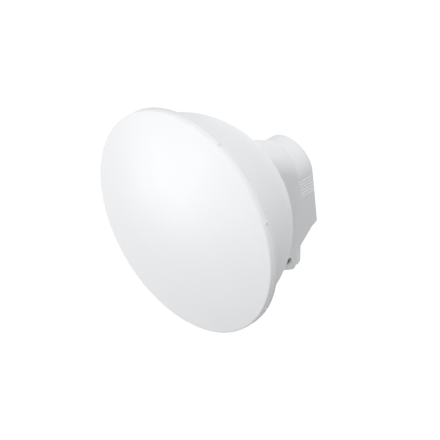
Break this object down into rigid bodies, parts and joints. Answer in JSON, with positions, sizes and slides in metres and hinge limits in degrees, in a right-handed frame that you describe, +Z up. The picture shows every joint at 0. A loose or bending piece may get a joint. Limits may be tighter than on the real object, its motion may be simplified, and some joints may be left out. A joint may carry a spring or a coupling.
{
  "type": "outdoor wireless bridge",
  "caption": "Enclosed dish antenna with a domed radome, deep rounded shroud and an arched radio housing behind it, held on a tilting bracket for a pole.",
  "frame": {"origin": "centre of the tilt bracket's four-hole pattern, on the face that meets the pole bracket", "axes": "-Y is where the antenna points at zero tilt, +Y goes back to the pole, +Z is up, +X is to the right seen from the front"},
  "size_m": [0.378, 0.289, 0.378],
  "materials": {
    "radome_white": "satin",
    "shell_white": "satin",
    "cover_white": "fine texture",
    "frame_white": "fine texture",
    "bracket_coat": "powder coat",
    "screw_white": "white coat",
    "stainless": "brushed",
    "spun_aluminium": "spun",
    "cast_aluminium": "as cast",
    "plated_brass": "plated",
    "gasket_rubber": "matte",
    "absorber_foam": "open foam",
    "clear_dielectric": "translucent",
    "board_green": "solder mask",
    "tin_plate": "tin plate",
    "chip_black": "moulded",
    "thermal_grey": "soft",
    "button_grey": "smooth",
    "light_clear": "clear"
  },
  "bodies": {
    "bracket": {"tilt_bracket": "bracket_coat", "pivot_bolts": "stainless", "pivot_washers": "stainless", "pivot_nuts": "stainless"},
    "dish": {"radome": "radome_white", "radome_gasket": "gasket_rubber", "radome_screws": "screw_white", "bowl_shell": "shell_white", "absorber_ring": "absorber_foam", "reflector": "spun_aluminium", "reflector_screws": "stainless", "feed_tube": "cast_aluminium", "feed_cone": "clear_dielectric", "subreflector": "spun_aluminium", "feed_screws": "stainless", "waveguide_housing": "cast_aluminium", "waveguide_cover": "cast_aluminium", "probe_pins": "plated_brass", "probe_bushings": "clear_dielectric", "rf_launchers": "plated_brass", "mount_frame": "frame_white", "frame_inserts": "plated_brass", "frame_screws": "stainless", "pivot_sleeves": "stainless", "radio_tray": "cast_aluminium", "radio_lid": "cast_aluminium", "radio_seal": "gasket_rubber", "main_board": "board_green", "shield_cans": "tin_plate", "processor_chips": "chip_black", "thermal_pad": "thermal_grey", "line_transformer": "chip_black", "capacitors": "tin_plate", "board_screws": "stainless", "tray_screws": "stainless", "lid_screws": "stainless", "ethernet_jack": "tin_plate", "jack_contacts": "plated_brass", "reset_switch": "chip_black", "light_guide": "light_clear", "status_leds": "light_clear", "vent_plug": "button_grey"},
    "cover": {"rear_cover": "cover_white"},
    "button": {"reset_button": "button_grey"}
  },
  "joints": [
    {"name": "elevation", "type": "hinge", "parent": "bracket", "child": "dish", "pos_m": [0, -0.0345, 0.0005], "axis": [-1, 0, 0], "range_deg": [-20, 20]},
    {"name": "cover_lift", "type": "slide", "parent": "dish", "child": "cover", "axis": [0, 0, 1], "range_m": [0, 0.185]},
    {"name": "reset_press", "type": "slide", "parent": "dish", "child": "button", "axis": [0, 0, 1], "range_m": [0, 0.0008], "stiffness_N_per_m": 500, "springref_m": -0.0005}
  ]
}
